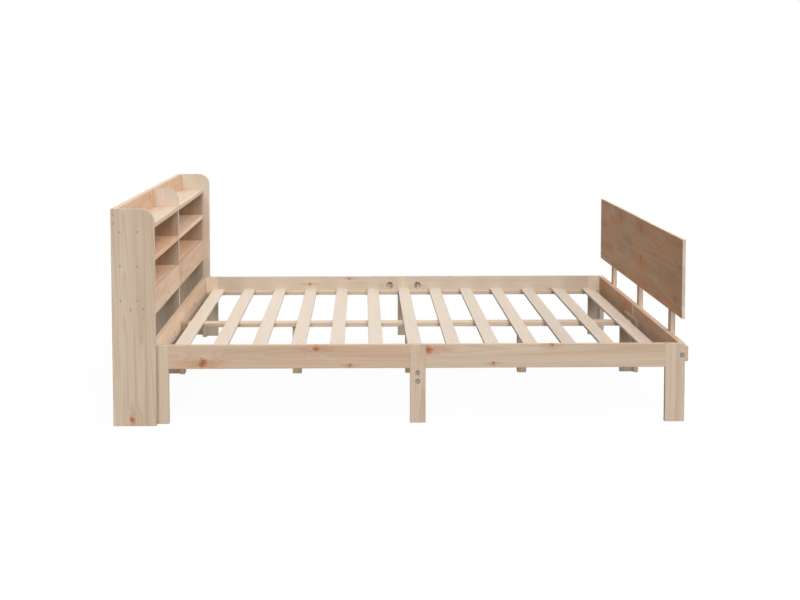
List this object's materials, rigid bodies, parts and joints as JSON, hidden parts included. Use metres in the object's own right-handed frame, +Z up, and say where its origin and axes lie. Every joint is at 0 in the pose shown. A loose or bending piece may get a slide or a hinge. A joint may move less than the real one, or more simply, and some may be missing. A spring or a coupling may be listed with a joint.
{
  "type": "bed frame with bookcase headboard",
  "caption": "Solid pine double bed frame with a slatted base, boxed rails on plank legs, a raised footboard panel on posts and a free-standing bookcase headboard.",
  "frame": {"origin": "on the floor, under the middle of the whole piece's bounding box", "axes": "+X from the head to the foot of the bed, +Z up, +Y to the sleeper's far side"},
  "size_m": [2.1994, 2.118, 0.827],
  "materials": {
    "frame_pine": "sanded, unlacquered",
    "support_pine": "sanded, unlacquered",
    "slat_pine": "sanded, unlacquered",
    "panel_pine": "edge-glued staves, sanded",
    "case_pine": "edge-glued staves, sanded",
    "back_ply": "sanded plywood",
    "zinc_steel": "zinc plated",
    "screw_steel": "dulled zinc"
  },
  "bodies": {
    "root": {"side_rail_near_head": "frame_pine", "side_rail_near_foot": "frame_pine", "side_rail_far_head": "frame_pine", "side_rail_far_foot": "frame_pine", "head_rail_near": "frame_pine", "head_rail_far": "frame_pine", "foot_rail_near": "frame_pine", "foot_rail_far": "frame_pine", "corner_leg_near_head": "frame_pine", "corner_leg_far_head": "frame_pine", "corner_leg_near_foot": "frame_pine", "corner_leg_far_foot": "frame_pine", "side_leg_near": "frame_pine", "side_leg_far": "frame_pine", "head_leg": "frame_pine", "foot_leg": "frame_pine", "ledger_strips": "support_pine", "splice_blocks": "support_pine", "centre_beam_head": "support_pine", "centre_beam_foot": "support_pine", "crossbeam_near": "support_pine", "crossbeam_far": "support_pine", "centre_leg_head": "support_pine", "centre_leg_mid": "support_pine", "centre_leg_foot": "support_pine", "slat_01": "slat_pine", "slat_02": "slat_pine", "slat_03": "slat_pine", "slat_04": "slat_pine", "slat_05": "slat_pine", "slat_06": "slat_pine", "slat_07": "slat_pine", "slat_08": "slat_pine", "slat_09": "slat_pine", "slat_10": "slat_pine", "slat_11": "slat_pine", "slat_12": "slat_pine", "slat_13": "slat_pine", "footboard_panel_near": "panel_pine", "footboard_panel_far": "panel_pine", "footboard_post_near": "frame_pine", "footboard_post_mid": "frame_pine", "footboard_post_far": "frame_pine", "footboard_batten": "frame_pine", "bookcase_side_near": "case_pine", "bookcase_side_far": "case_pine", "bookcase_divider": "case_pine", "top_shelf_near": "case_pine", "top_shelf_far": "case_pine", "mid_shelf_near": "case_pine", "mid_shelf_far": "case_pine", "low_shelf_near": "case_pine", "low_shelf_far": "case_pine", "top_back_board": "case_pine", "back_panel": "back_ply", "front_board_near": "case_pine", "front_board_far": "case_pine", "frame_bolts": "zinc_steel", "nuts_and_washers": "zinc_steel", "wood_screws": "screw_steel"}
  },
  "joints": []
}
